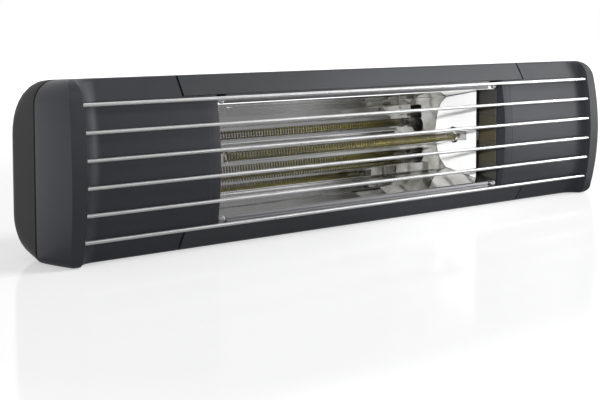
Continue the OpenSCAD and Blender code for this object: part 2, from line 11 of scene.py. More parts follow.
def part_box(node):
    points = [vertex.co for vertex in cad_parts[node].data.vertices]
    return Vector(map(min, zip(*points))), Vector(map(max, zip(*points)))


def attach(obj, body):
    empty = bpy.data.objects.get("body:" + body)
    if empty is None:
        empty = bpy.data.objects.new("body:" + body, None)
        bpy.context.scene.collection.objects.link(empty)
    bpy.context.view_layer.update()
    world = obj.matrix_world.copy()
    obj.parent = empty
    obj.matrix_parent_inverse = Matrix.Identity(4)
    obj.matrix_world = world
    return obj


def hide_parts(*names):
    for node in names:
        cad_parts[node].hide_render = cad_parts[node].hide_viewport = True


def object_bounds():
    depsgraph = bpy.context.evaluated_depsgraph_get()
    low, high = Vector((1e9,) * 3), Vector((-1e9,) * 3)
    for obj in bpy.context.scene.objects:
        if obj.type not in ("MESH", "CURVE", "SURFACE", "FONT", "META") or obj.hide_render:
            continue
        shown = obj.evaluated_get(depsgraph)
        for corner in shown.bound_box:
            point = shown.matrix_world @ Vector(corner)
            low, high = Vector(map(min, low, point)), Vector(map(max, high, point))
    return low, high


bl_info = {
    "name": "Infrared tube heater",
    "version": (1, 0, 0),
    "blender": (4, 5, 0),
    "location": "View3D > Sidebar > Heater",
    "description": "Dresses the solids of a tilting infrared tube heater and sets its studio",
    "category": "Object",
}

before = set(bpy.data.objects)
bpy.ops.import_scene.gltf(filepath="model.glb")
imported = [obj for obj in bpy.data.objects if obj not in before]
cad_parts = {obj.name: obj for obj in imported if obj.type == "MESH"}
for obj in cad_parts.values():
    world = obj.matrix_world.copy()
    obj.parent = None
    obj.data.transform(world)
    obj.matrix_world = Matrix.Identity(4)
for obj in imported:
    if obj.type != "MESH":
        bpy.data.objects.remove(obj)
CAD_LOW, CAD_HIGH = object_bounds()
MM = 0.001
MERGE, COPLANAR = 0.002 * MM, math.radians(0.4)
HEATER, BRACKET = "heater", "bracket"
ENDS = ("left", "right")
RODS = [f"guard_rod_{i}" for i in range(1, 7)]
WHITE = (1, 1, 1, 1)


# Settings


def colour(label, hint, *default):
    return FloatVectorProperty(
        name=label, description=hint, default=default, size=3, min=0, max=1, subtype="COLOR"
    )


def length(label, hint, millimetres):
    return FloatProperty(
        name=label, description=hint, default=millimetres * MM, min=0, unit="LENGTH", precision=5
    )


def angle(label, hint, degrees):
    return FloatProperty(name=label, description=hint, default=math.radians(degrees), subtype="ANGLE")


def level(label, hint, default, **kind):
    return FloatProperty(name=label, description=hint, default=default, **kind)


class HeaterFinish(bpy.types.PropertyGroup):
    """Colours of the heater's finishes."""

    cover: colour("Covers", "Satin paint of the front covers", 0.0255, 0.0275, 0.0355)
    body: colour("Extrusion", "Satin paint of the middle section", 0.033, 0.0355, 0.0415)
    rear: colour("Rear covers", "Matt paint of the rear covers", 0.021, 0.021, 0.021)
    mirror: colour("Reflector", "Polished reflector sheet", 0.86, 0.86, 0.86)
    # Darker, browner colour that the reflector sheet takes towards its right end
    dark_right_end: colour("Dark right end", "Heat tint at the reflector's right end", 0.235, 0.23, 0.205)
    plate: colour("End plates", "White end plates of the trough", 0.93, 0.935, 0.94)
    shield: colour("Side shields", "Dark side walls of the trough", 0.10, 0.10, 0.096)
    tint: colour("Heat tint", "Olive bands that heat leaves on the side walls", 0.12, 0.095, 0.035)
    lip: colour("Lips", "Ribbed strips along the mouth", 0.27, 0.27, 0.28)
    rod: colour("Rods", "Satin guard rods", 0.92, 0.925, 0.93)
    wire: colour("Filament", "Heat-tinted filament wire", 0.17, 0.138, 0.012)
    ceramic: colour("Ceramic", "Lamp bases", 0.42, 0.42, 0.41)
    zinc: colour("Zinc", "Zinc-plated screws and bolts", 0.60, 0.60, 0.62)
    steel: colour("Sheet steel", "Plain sheet of the inner pieces", 0.55, 0.56, 0.57)
    black: colour("Black", "Seals and gland", 0.014, 0.014, 0.015)
    terminal: colour("Terminal block", "Cream plastic of the terminal block", 0.62, 0.58, 0.47)
    lead: colour("Leads", "Silicone of the lamp leads", 0.72, 0.70, 0.64)
    glass: colour("Quartz", "Clear lamp tube", 0.97, 0.98, 0.98)


class HeaterDetail(bpy.types.PropertyGroup):
    """Sizes that the dressed pieces add to the solids."""

    cast_edge: length("Cast edge", "Rounding of the cast covers' edges", 0.45)
    sheet_edge: length("Sheet edge", "Rounding of cut sheet edges", 0.18)
    fold: length("Fold", "Rounding of the reflector's folds", 0.9)
    lip_reach: length("Lip reach", "How much longer the lips run to the left", 6)
    plate_cut: length("Plate cut", "How far the left end plate's front is cut back", 10)
    coil_turns: IntProperty(
        name="Coil turns", description="Curls of the filament", default=88, min=20, max=160
    )
    coil_wire: length("Coil wire", "Thickness of the filament wire", 1.35)


class HeaterCover(bpy.types.PropertyGroup):
    """Form of the cast front covers."""

    bow: length("Bow", "Radius of the bowed front, on the rod axes", 255)
    pad_drop: length("Pad drop", "Drop of the pads behind the rod axes", 5)
    pad_edge: length("Pad edge", "How far behind the rod axes the pads' inner edges reach", 16)
    opening: length("Opening", "Height between the sloping bands", 105.6)
    band_run: length("Band run", "Depth over which each band slopes back", 9.3)
    band_edge: length("Band edge", "Rounding between band and flat", 3)
    rim_width: length("Rim width", "Width of the raised rim", 12.0)
    rim_proud: length("Rim height", "Height of the rim before the rod axes", 2.59)
    rim_corner: length("Rim corner", "Upper corner radius of the rim, seen from the end", 18.6)
    rim_foot: length("Rim foot", "Lower corner radius of the rim, seen from the end", 9)
    rim_rise: length("Rim rise", "How far the circles of the rim's corners stand past the flats", 0.4)
    hollow: length("Hollow", "Hollow rounding between pad and rim", 20)
    side_swell: length("Side swell", "How far the side swells past the rim", 6.5)
    side_lead: length("Side lead", "How far before the rod axes the side starts to swell", 5)
    side_bow: length("Side bow", "How far the side's front edge draws in at top and bottom", 5.5)
    corner_top: length("Upper corner", "Upper corner height of the side, seen from the front", 18)
    corner_bottom: length("Lower corner", "Lower corner radius of the side", 8)
    top_fall: angle("Top fall", "Fall of the top to the back", 2.75)
    joint: length("Joint", "Open joint beside the extrusion", 1.9)
    pad_gap: length("Pad gap", "Clearance between the pads and the bands", 0.3)
    border: length("Border", "Width of the stepped border at the pads' inner edges", 9.5)
    border_step: length("Border step", "Step between each pad and its border", 0.2)
    border_fall: length("Border fall", "Fall of the border towards the window", 0.5)
    seam: length("Seam", "Extra opening of the parting line", 0.8)
    wall: length("Wall", "Wall of the shell", 2.2)


class HeaterStudio(bpy.types.PropertyGroup):
    """Camera and light of the stage."""

    eye: FloatVectorProperty(
        name="Camera", description="Place of the camera", default=(-0.725, -0.8185, 0.1775), unit="LENGTH"
    )
    yaw: angle("Yaw", "Turn to the right", 39.98)
    pitch: angle("Pitch", "Tilt down", 3.66)
    roll: angle("Roll", "Roll of the view", -0.16)
    lens: level("Lens", "Focal length in mm on a 36 mm sensor", 72.0)
    rise: level("Shift", "Vertical shift of the frame", -0.168)
    sky: level("Even light", "Strength of the even light", 0.28, min=0)
    key: level("Key", "Power of the right softbox", 15.0, min=0, unit="POWER")
    fill: level("Fill light", "Power of the left softbox", 5.5, min=0, unit="POWER")
    top: level("Top light", "Power of the upper softboxes", 14.0, min=0, unit="POWER")
    window: level("Window light", "Power of the spot into the trough", 105.0, min=0, unit="POWER")
    sweep_grey: level("Sweep grey", "Grey of the paper before the front", 0.27, min=0)
    table_end: level("Table end", "Right end of the paper on the floor", 0.33, unit="LENGTH")
    sweep_end: level("Sweep end", "Right end of the grey paper", 2.1, unit="LENGTH")


# Node helpers


class Nodes:
    """A node tree, the inputs of its result and short ways to add nodes."""

    def __init__(self, tree, result=None):
        self.tree, self.result = tree, result

    def feed(self, inputs, values):
        """Set or link each input."""
        for key, value in values.items():
            if isinstance(value, bpy.types.NodeSocket):
                self.tree.links.new(value, inputs[key])
            else:
                inputs[key].default_value = value

    def add(self, kind, inputs=None, **settings):
        node = self.tree.nodes.new(kind)
        for key, value in settings.items():
            setattr(node, key, value)
        self.feed(node.inputs, inputs or {})
        return node

    def shader(self, kind, inputs=None, **settings):
        """First output of a new shader or function node."""
        return self.add("ShaderNode" + kind, inputs, **settings).outputs[0]

    def geo(self, kind, inputs=None, **settings):
        """First output of a new geometry node."""
        return self.add("GeometryNode" + kind, inputs, **settings).outputs[0]

    def maths(self, operation, a, b=0.0):
        return self.shader("Math", {0: a, 1: b}, operation=operation)

    def times(self, a, b):
        return self.maths("MULTIPLY", a, b)

    def xyz(self, **parts):
        return self.shader("CombineXYZ", parts)

    def part(self, vector, axis):
        return self.add("ShaderNodeSeparateXYZ", {0: vector}).outputs[axis]

    def place(self):
        return self.add("ShaderNodeTexCoord").outputs["Object"]

    def stretched(self, place, *scale):
        return self.shader("Mapping", {"Vector": place, "Scale": scale})

    def noise(self, place, scale, detail, **more):
        return self.shader("TexNoise", {"Vector": place, "Scale": scale, "Detail": detail, **more})

    def ramp(self, value, start, stop, low=0.0, high=1.0, **settings):
        """A value carried from one range to another and held at its ends."""
        return self.shader("MapRange", {0: value, 1: start, 2: stop, 3: low, 4: high}, **settings)

    def spread(self, factor, low, high):
        return self.ramp(factor, 0.0, 1.0, low, high)

    def between(self, factor, low, high, **settings):
        """A colour mixed from two."""
        inputs = {"Factor": factor, "A": low, "B": high}
        return self.add("ShaderNodeMix", inputs, data_type="RGBA", **settings).outputs["Result"]

    def surface(self, shader, kind="OutputMaterial"):
        self.add("ShaderNode" + kind, {"Surface": shader})

    def moved(self, geometry, offset):
        return self.geo("Transform", {"Geometry": geometry, "Translation": offset})

    def joined(self, pieces):
        whole = self.add("GeometryNodeJoinGeometry")
        for piece in pieces:
            self.feed(whole.inputs, {0: piece})
        return whole.outputs[0]

    def swept(self, curve, diameter, sides):
        """A capped round bar along a curve."""
        ring = {"Resolution": sides, "Radius": self.times(diameter, 0.5)}
        profile = self.geo("CurvePrimitiveCircle", ring)
        return self.geo("CurveToMesh", {"Curve": curve, "Profile Curve": profile, "Fill Caps": True})

    def set_on(self, places, piece, finish):
        """End a geometry tree with a piece set on each point."""
        self.deliver(self.geo("InstanceOnPoints", {"Points": places, "Instance": piece}), finish)

    def deliver(self, geometry, finish):
        """End a geometry tree with real meshes in one finish."""
        solid = self.geo("RealizeInstances", {0: geometry})
        painted = self.geo("SetMaterial", {"Geometry": solid, "Material": finishes.get(finish)})
        self.feed(self.result, {0: painted})


def rgba(colour, gain=1.0):
    return tuple(min(1.0, c * gain) for c in colour) + (1.0,)


def node_group(name, kind="Geometry", outputs=("Geometry",), **inputs):
    """A new node group, with its inputs listed by kind of socket, and its input sockets."""
    tree = bpy.data.node_groups.new(name, kind + "NodeTree")
    result_kind = "NodeSocketGeometry" if kind == "Geometry" else "NodeSocketFloat"
    for label in outputs:
        tree.interface.new_socket(label, in_out="OUTPUT", socket_type=result_kind)
    for socket, labels in inputs.items():
        for label in labels:
            tree.interface.new_socket(label, in_out="INPUT", socket_type="NodeSocket" + socket)
    given, result = tree.nodes.new("NodeGroupInput"), tree.nodes.new("NodeGroupOutput")
    return Nodes(tree, result.inputs), given.outputs


def coat_grain():
    """Fine powder-coat grain and a slow drift of tone."""
    scales = ["Grain Scale", "Tone Scale"]
    nodes, given = node_group("coat grain", "Shader", ["Height", "Tone", "Fleck"], Float=scales)
    place = nodes.place()
    grain = nodes.noise(place, given["Grain Scale"], 3.0, Roughness=0.55)
    voronoi = {"Vector": place, "Scale": given["Grain Scale"]}
    cells = nodes.add("ShaderNodeTexVoronoi", voronoi, feature="SMOOTH_F1").outputs["Distance"]
    height = nodes.maths("ADD", nodes.times(cells, 0.5), grain)
    tone = nodes.noise(place, given["Tone Scale"], 4.0)
    fleck = nodes.spread(grain, -0.6, 1.6)
    nodes.feed(nodes.result, {"Height": height, "Tone": tone, "Fleck": fleck})
    return nodes.tree


def drawn_lines():
    """Fine lines along the length, as rolling and drawing leave them, and slow waves across the sheet."""
    scales = ["Line Scale", "Wave Scale"]
    nodes, given = node_group("drawn lines", "Shader", ["Line", "Wave"], Float=scales)
    place = nodes.place()
    line = nodes.noise(nodes.stretched(place, 0.012, 1.0, 1.0), given["Line Scale"], 2.0)
    wave = nodes.noise(nodes.stretched(place, 0.55, 1.0, 1.0), given["Wave Scale"], 1.0)
    nodes.feed(nodes.result, {"Line": line, "Wave": wave})
    return nodes.tree


# Coats and metals: kind, colour setting, lowest and highest roughness, relief in mm, scale, specular level
FINISHES = {
    "cover_paint": ("coat", "cover", 0.36, 0.46, 0.010),
    "body_paint": ("coat", "body", 0.36, 0.46, 0.010),
    "rear_paint": ("coat", "rear", 0.50, 0.60, 0.016, 1800.0, 0.2),
    "bracket_paint": ("coat", "body", 0.40, 0.52, 0.012),
    "end_plate": ("coat", "plate", 0.26, 0.36, 0.003, 1500.0),
    "lamp_ceramic": ("coat", "ceramic", 0.62, 0.74, 0.02, 900.0),
    "seal_rubber": ("coat", "black", 0.66, 0.78, 0.01, 1500.0),
    "gland_plastic": ("coat", "black", 0.44, 0.56, 0.012, 1300.0),
    "terminal_plastic": ("coat", "terminal", 0.42, 0.52, 0.006, 1200.0),
    "lead_silicone": ("coat", "lead", 0.50, 0.60, 0.006, 1200.0),
    "lip_aluminium": ("metal", "lip", 0.24, 0.36, 0.004),
    "rod_steel": ("metal", "rod", 0.24, 0.32, 0.002, 1600.0),
    "zinc_steel": ("metal", "zinc", 0.28, 0.42, 0.003, 700.0),
    "sheet_steel": ("metal", "steel", 0.30, 0.42, 0.003),
}
TONE_SCALE, WAVE_SCALE = 16.0, 22.0


class Finishes:
    """The materials, made once on first use from the finish settings."""

    FLECKS = 0.16

    def __init__(self):
        self.made, self.groups = {}, {}

    def get(self, name):
        if name not in self.made:
            material = self.made[name] = bpy.data.materials.new(name.replace("_", " "))
            material.use_nodes = True
            tree = material.node_tree
            nodes = Nodes(tree, tree.nodes["Principled BSDF"].inputs)
            kind, *row = FINISHES.get(name, (name,))
            getattr(self, kind)(nodes, bpy.context.scene.heater_finish, *row)
        return self.made[name]

    def effect(self, nodes, maker, *scales):
        """Outputs of a shared effect at these scales."""
        if maker not in self.groups:
            self.groups[maker] = maker()
        return nodes.add("ShaderNodeGroup", dict(enumerate(scales)), node_tree=self.groups[maker]).outputs

    def lay(self, nodes, base, gloss, height, relief, **others):
        """Feed a material's colour, its roughness, its relief in mm and other inputs."""
        bump = nodes.shader("Bump", {"Height": height, "Distance": relief * MM})
        nodes.feed(nodes.result, {"Base Color": base, "Roughness": gloss, "Normal": bump, **others})

    def coat(self, nodes, colours, setting, low, high, relief, scale=2200.0, specular=0.4, drift=0.1):
        """Powder coat: grain in the relief, a slow drift in colour and gloss."""
        paint = getattr(colours, setting)
        grain = self.effect(nodes, coat_grain, scale, TONE_SCALE)
        tone = nodes.between(grain["Tone"], rgba(paint, 1 - drift), rgba(paint, 1 + drift))
        base = nodes.between(self.FLECKS, tone, grain["Fleck"], blend_type="OVERLAY")
        gloss = nodes.spread(grain["Tone"], low, high)
        self.lay(nodes, base, gloss, grain["Height"], relief, **{"Specular IOR Level": specular})

    def metal(self, nodes, colours, setting, low, high, relief, scale=900.0, drift=0.055):
        """Bare metal with drawn lines in its gloss and relief."""
        sheen = getattr(colours, setting)
        line = self.effect(nodes, drawn_lines, scale, WAVE_SCALE)["Line"]
        base = nodes.between(line, rgba(sheen, 1 - drift), rgba(sheen, 1 + drift))
        self.lay(nodes, base, nodes.spread(line, low, high), line, relief, Metallic=1.0)

    def mirror_sheet(self, nodes, colours, drift=0.006):
        """Polished sheet with slow waves, and with clouds of a darker, browner colour towards its right end.
        """
        sheen = colours.mirror
        lines = self.effect(nodes, drawn_lines, 300.0, 12.0)
        bare = nodes.between(lines["Line"], rgba(sheen, 1 - drift), rgba(sheen, 1 + drift))
        place = nodes.place()
        # Clouds of the darker, browner colour, growing from the middle to the right end of the sheet
        near = nodes.ramp(nodes.part(place, "X"), 20 * MM, 85 * MM)
        cloud = nodes.spread(nodes.noise(place, 55.0, 3.0), 0.3, 1.35)
        base = nodes.between(nodes.times(near, cloud), bare, rgba(colours.dark_right_end))
        gloss = nodes.spread(lines["Line"], 0.018, 0.03)
        self.lay(nodes, base, gloss, lines["Wave"], 0.004, Metallic=1.0)

    def dark_shield(self, nodes, colours):
        """Dark sheet with level bands of heat tint about the height of the lamp."""
        place = nodes.place()
        band = nodes.noise(nodes.stretched(place, 0.05, 0.05, 1.0), 130.0, 3.0)
        above = nodes.maths("SUBTRACT", nodes.part(place, "Z"), middle_of("lamp_tube").z)
        off = nodes.maths("ABSOLUTE", above)
        tint = nodes.times(nodes.ramp(off, 8 * MM, 40 * MM, 1.0, 0.0), nodes.spread(band, -0.4, 1.4))
        base = nodes.between(tint, rgba(colours.shield, 0.8), rgba(colours.tint))
        self.lay(nodes, base, nodes.spread(band, 0.18, 0.42), band, 0.02, Metallic=0.35)

    def filament_wire(self, nodes, colours):
        """Wire with oxide tints that drift along the coil."""
        grain = self.effect(nodes, coat_grain, 1500.0, 90.0)
        base = nodes.between(grain["Tone"], rgba(colours.wire, 0.55), rgba(colours.wire, 1.35))
        gloss = nodes.spread(grain["Tone"], 0.30, 0.50)
        self.lay(nodes, base, gloss, grain["Height"], 0.01, Metallic=0.85)

    def quartz(self, nodes, colours):
        """Clear quartz with faint drawing lines, that lets most light through to what it shades."""
        line = self.effect(nodes, drawn_lines, 500.0, WAVE_SCALE)["Line"]
        shadow = nodes.add("ShaderNodeLightPath").outputs["Is Shadow Ray"]
        clear = {"Transmission Weight": 1.0, "IOR": 1.46, "Alpha": nodes.spread(shadow, 1.0, 0.06)}
        self.lay(nodes, rgba(colours.glass), nodes.spread(line, 0.0, 0.004), line, 0.0004, **clear)


finishes = Finishes()


# Mesh helpers


def evenly(start, stop, steps):
    """Numbers or points from a start to a stop, with both."""
    return [start + (stop - start) * k / steps for k in range(steps + 1)]


def middle_of(node):
    return sum(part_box(node), Vector()) / 2


def merged(node):
    """A copy of a solid with its doubled corners merged."""
    bm = bmesh.new()
    bm.from_mesh(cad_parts[node].data)
    bmesh.ops.remove_doubles(bm, verts=bm.verts, dist=MERGE)
    return bm


def solid_boxes(node):
    """Lowest and highest corner of each separate solid in a node, left to right."""
    bm = merged(node)
    boxes, left = [], set(bm.verts)
    while left:
        stack, points = [left.pop()], []
        while stack:
            vert = stack.pop()
            points.append(vert.co.copy())
            found = {edge.other_vert(vert) for edge in vert.link_edges} & left
            left -= found
            stack += found
        boxes.append(tuple(Vector(f(p[i] for p in points) for i in range(3)) for f in (min, max)))
    bm.free()
    return sorted(boxes, key=lambda b: (round(b[0].x, 4), round(b[0].z, 4)))


def to_mesh(name, bm):
    mesh = bpy.data.meshes.new(name)
    bm.to_mesh(mesh)
    bm.free()
    return mesh


def paint(mesh, finish):
    mesh.materials.clear()
    mesh.materials.append(finishes.get(finish))


def link(name, data, finish=None):
    """A new object in the scene, in one finish where it has any."""
    if finish:
        paint(data, finish)
    obj = bpy.data.objects.new(name, data)
    bpy.context.scene.collection.objects.link(obj)
    return obj


def settle(obj):
    """The object with its modifiers turned into a plain, valid mesh."""
    bpy.context.view_layer.update()
    depsgraph = bpy.context.evaluated_depsgraph_get()
    mesh = bpy.data.meshes.new_from_object(obj.evaluated_get(depsgraph))
    mesh.validate(clean_customdata=False)
    old = obj.data
    obj.modifiers.clear()
    obj.data = mesh
    mesh.name = obj.name
    bpy.data.meshes.remove(old)
    return obj


def shade(obj, crease=40.0):
    """Smooth faces with their flats kept flat and edges past the crease angle kept sharp."""
    obj.data.shade_smooth()
    obj.data.set_sharp_from_angle(angle=math.radians(crease))
    normals = obj.modifiers.new("flats", "WEIGHTED_NORMAL")
    normals.keep_sharp = True
    normals.mode = "FACE_AREA_WITH_ANGLE"
    return settle(obj)


def ride(obj, body, slot, *nodes):
    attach(obj, body)
    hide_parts(*nodes)


def dress(
    piece, node, finish, edge, body=HEATER, sharp=30.0, steep=181.0, shortest=1.2 * MM, rounds=2,
    reshape=None, front=None,
):
    """Put in a solid's place a merged copy that is reshaped or cut off at the front where asked.

    Its edges between the angles sharp and steep are rounded if they aren't shorter than the shortest.
    """
    bm = merged(node)
    for vert in bm.verts if reshape else ():
        reshape(vert.co)
    if front is not None:
        whole = [*bm.verts, *bm.edges, *bm.faces]
        bmesh.ops.bisect_plane(
            bm, geom=whole, plane_co=(0, front, 0), plane_no=(0, -1, 0), clear_outer=True
        )
        bmesh.ops.holes_fill(bm, edges=[e for e in bm.edges if e.is_boundary])
        bmesh.ops.recalc_face_normals(bm, faces=bm.faces)
    bmesh.ops.dissolve_limit(bm, angle_limit=COPLANAR, verts=bm.verts, edges=bm.edges)
    edges = [
        e
        for e in bm.edges
        if len(e.link_faces) == 2
        and math.radians(sharp) < e.calc_face_angle() < math.radians(steep)
        and e.calc_length() > shortest
    ]
    bmesh.ops.bevel(
        bm, geom=edges, offset=edge, offset_type="OFFSET", segments=rounds, profile=0.5,
        affect="EDGES", clamp_overlap=False,
    )
    bmesh.ops.dissolve_degenerate(bm, dist=MERGE, edges=bm.edges)
    ride(shade(link(piece, to_mesh(piece, bm), finish)), body, finish, node)


def grown(name, tree, values, finish, points=()):
    """An object whose mesh is what a geometry tree makes from these values and points."""
    mesh = bpy.data.meshes.new(name)
    mesh.from_pydata(points, [], [])
    obj = link(name, mesh)
    modifier = obj.modifiers.new(tree.name, "NODES")
    modifier.node_group = tree
    for item in tree.interface.items_tree:
        if item.in_out == "INPUT" and item.name in values:
            modifier[item.identifier] = values[item.name]
    paint(settle(obj).data, finish)
    return obj


class CoverForm:
    """Outside of a cast front cover, worked out as depth behind the rod axes and height from the middle."""

    SWELL_POWER = 1.7
    PAD_STEPS, BORDER_STEPS, FLAT_STEPS, HOLLOW_STEPS, RIM_STEPS, BACK_STEPS = 10, 6, 4, 16, 4, 8
    SLOPE_STEPS, EDGE_STEPS = 4, 6
    STEP_SLOPE = 2.4
    LEAST_PINCH = 0.003
    WELD = 0.02 * MM

    def __init__(self, sizes):
        self.s = sizes
        low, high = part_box("end_cover_right")
        rods = [middle_of(rod) for rod in RODS]
        self.middle = (rods[0].z + rods[-1].z) / 2
        self.front = rods[2].y - self.bow(sizes.bow, rods[2].z - self.middle)
        self.half = self.middle - CAD_LOW.z
        self.window, self.end, self.parting = low.x, high.x, high.y - self.front - sizes.seam
        self.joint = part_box("body_extrusion")[1].x + sizes.joint
        self.rim_x = self.end - sizes.side_swell - sizes.rim_width
        self.band_z = sizes.opening / 2
        self.pad_r, self.rim_r = sizes.bow - sizes.pad_drop, sizes.bow + sizes.rim_proud
        self.band_d = self.bow(self.pad_r, self.band_z)

    def bow(self, radius, z):
        return self.s.bow - math.sqrt(radius**2 - z**2)

    def flat(self, depth, up):
        """Height of the falling top or of the level underside at a depth."""
        fall = (depth - self.band_d - self.s.band_run) * math.tan(self.s.top_fall)
        return self.half - fall if up else -self.half

    def side(self, depth, z):
        """Distance of the swelling side from the middle at a depth and height."""
        lead = self.s.side_lead
        share = min(1.0, max(0.0, (depth + lead) / (self.parting + lead)))
        drawn_in = self.s.side_bow * (z / self.half) ** 2 * (1 - share)
        return self.end - self.s.side_swell * (1 - share) ** self.SWELL_POWER - drawn_in

    def pad_end(self):
        """From the window over the rolled border and its step out to the joint, as (x, drop)."""
        width, step, fall = self.s.border, self.s.border_step, self.s.border_fall
        shares = [k / self.BORDER_STEPS for k in range(self.BORDER_STEPS, -1, -1)]
        path = [(self.window + width * (1 - t), step + fall * t * t) for t in shares]
        flat = self.window + width + self.STEP_SLOPE * step
        return path + [(x, 0.0) for x in evenly(flat, self.joint, self.FLAT_STEPS)]

    def band(self, up):
        """Points up one band and round its outer edge."""
        run, rise, radius = self.s.band_run, self.half - self.band_z, self.s.band_edge
        sign = 1 if up else -1
        corner = Vector((self.band_d + run, self.half * sign))
        along = Vector((run, rise * sign)).normalized()
        out = Vector((-along.y, along.x)) * sign
        fall = self.s.top_fall
        face = Vector((math.sin(fall), math.cos(fall))) if up else Vector((0, -1))
        det = out.x * face.y - out.y * face.x
        centre = corner - radius * Vector((face.y - out.y, out.x - face.x)) / det
        first = centre + radius * out
        points = evenly(Vector((self.band_d, self.band_z * sign)), first, self.SLOPE_STEPS)
        turn = out.angle_signed(face)
        for k in range(1, self.EDGE_STEPS + 1):
            bent = out.copy()
            bent.rotate(Matrix.Rotation(-turn * k / self.EDGE_STEPS, 2))
            points.append(centre + radius * bent)
        return points

    def rim_end(self, up, count):
        """As many points on the rim, from the height where the bands start round to the flat."""
        sign, radius = (1, self.s.rim_corner) if up else (-1, self.s.rim_foot)
        height = self.half + self.s.rim_rise - radius
        depth = self.bow(self.rim_r - radius, height)
        start = math.asin(height / (self.rim_r - radius))
        stop = math.radians(75)
        # Close in on the angle at which the corner's circle meets the flat
        for _ in range(20):
            top = abs(self.flat(depth - radius * math.cos(stop), up))
            stop = math.asin((top - height) / radius)
        points = [Vector((self.bow(self.rim_r, self.band_z), self.band_z * sign))]
        for k in range(count - 1):
            a = start + (stop - start) * k / (count - 2)
            points.append(Vector((depth - radius * math.cos(a), sign * (height + radius * math.sin(a)))))
        return points

    def profiles(self):
        """Front of the pad and bands, and of the rim, as matching rows from the bottom up."""
        reach, steps = self.band_z - self.s.pad_gap, self.PAD_STEPS
        heights = [reach * k / steps for k in range(-steps, steps + 1)]
        pad, rim = ([Vector((self.bow(r, z), z)) for z in heights] for r in (self.pad_r, self.rim_r))
        low, high = self.band(False), self.band(True)
        base = low[::-1] + pad + high
        raised = self.rim_end(False, len(low))[::-1] + rim + self.rim_end(True, len(high))
        return base, raised

    def back_run(self, start, up):
        """From a point on the front, straight back along the flat to the parting line."""
        depths = evenly(start.x, self.parting, self.BACK_STEPS)
        return [Vector((d, self.flat(d, up))) for d in depths]

    def lift(self, height, run):
        """Share of a height that the hollow has risen at a run before the rim."""
        radius = max(self.s.hollow, height)
        whole = math.sqrt(radius**2 - (radius - height) ** 2)
        reach = max(0.0, whole - run)
        return (radius - math.sqrt(radius**2 - reach**2)) / height if height else 0.0

    def edge(self, point):
        """Back along the side from where a row of the rim ends, as (x, depth, height)."""
        top = self.flat(point.x, True)
        rise, drop = self.s.corner_top, self.s.corner_bottom
        risen = min(1.0, (point.y - top + rise) / rise)
        pinch = max(self.LEAST_PINCH, math.sqrt(1 - risen**2)) if risen > 0 else 1.0
        path = []
        for d in evenly(point.x, self.parting, self.BACK_STEPS):
            x, z = self.side(d, point.y), point.y
            if risen > 0:
                x = self.rim_x + (x - self.rim_x) * pinch
                z = self.flat(d, True) - rise * (1 - risen)
            elif point.y < drop - self.half:
                fallen = min(1.0, (drop - self.half - point.y) / drop)
                x = x - drop * (1 - math.sqrt(1 - fallen**2))
            path.append(Vector((x, d, z)))
        return path

    def shell(self, name, sign):
        """The cover's outer skin, mirrored for the left end."""
        base, raised = self.profiles()
        bm = bmesh.new()

        def sheet(rows):
            grid = [
                [bm.verts.new((sign * x, self.front + d, self.middle + z)) for x, d, z in row]
                for row in rows
            ]
            for a, b in zip(grid, grid[1:]):
                for k in range(len(a) - 1):
                    corners = [a[k], a[k + 1], b[k + 1], b[k]]
                    if len({v.co.copy().freeze() for v in corners}) == 4:
                        bm.faces.new(corners)

        def section(x, front):
            under, over = self.back_run(front[0], False), self.back_run(front[-1], True)
            return [(x, p.x, p.y) for p in under[:0:-1] + front + over[1:]]

        flat = evenly(self.joint, self.rim_x - self.s.hollow, self.FLAT_STEPS)
        stations = [section(x, base) for x in flat]
        for k in range(1, self.HOLLOW_STEPS + 1):
            run = self.s.hollow * (1 - k / self.HOLLOW_STEPS)
            front = [p + (q - p) * self.lift((q - p).length, run) for p, q in zip(base, raised)]
            stations.append(section(self.rim_x - run, front))
        sheet(stations)

        pad = [p for p in base if abs(p.y) <= self.band_z - self.s.pad_gap / 2]
        rows = [[(self.window, self.s.pad_edge, p.y) for p in pad]]
        sheet(rows + [[(x, p.x + drop, p.y) for p in pad] for x, drop in self.pad_end()])

        rows = []
        for point in raised:
            side = self.edge(point)
            inner = Vector((self.rim_x, point.x, point.y))
            strip = [inner.lerp(side[0], k / self.RIM_STEPS) for k in range(self.RIM_STEPS)]
            rows.append(strip + side)
        sheet(rows)
        under = self.back_run(raised[0], False)
        sheet([[(self.rim_x, p.x, p.y) for p in under], self.edge(raised[0])])

        bmesh.ops.remove_doubles(bm, verts=bm.verts, dist=self.WELD)
        bmesh.ops.recalc_face_normals(bm, faces=bm.faces)
        ahead = min(bm.faces, key=lambda f: f.calc_center_median().y)
        if ahead.normal.y > 0:
            bmesh.ops.reverse_faces(bm, faces=bm.faces)
        return to_mesh(name, bm)


# Operators


class HEATER_OT_covers(bpy.types.Operator):
    """Cast front and rear covers at both ends"""

    bl_idname = "heater.covers"
    bl_label = "End covers"

    EDGE_ANGLE, CREASE = 32, 17

    def execute(self, context):
        detail, sizes = context.scene.heater_detail, context.scene.heater_cover
        form = CoverForm(sizes)
        for end, sign in zip(ENDS, (-1, 1)):
            piece = f"front_shell_{end}"
            shell = link(piece, form.shell(piece, sign), "cover_paint")
            wall = shell.modifiers.new("wall", "SOLIDIFY")
            wall.thickness, wall.offset = sizes.wall, -1
            edges = shell.modifiers.new("edges", "BEVEL")
            edges.width, edges.segments, edges.limit_method = detail.cast_edge, 2, "ANGLE"
            edges.angle_limit = math.radians(self.EDGE_ANGLE)
            ride(shade(settle(shell), self.CREASE), HEATER, "cover_paint", f"end_cover_{end}")
            dress(f"rear_shell_{end}", f"rear_cover_{end}", "rear_paint", detail.cast_edge, shortest=1.6 * MM)
        return {"FINISHED"}


class HEATER_OT_extrusion(bpy.types.Operator):
    """Extruded middle section"""

    bl_idname = "heater.extrusion"
    bl_label = "Extrusion"

    def execute(self, context):
        dress("extrusion_profile", "body_extrusion", "body_paint", context.scene.heater_detail.sheet_edge)
        return {"FINISHED"}


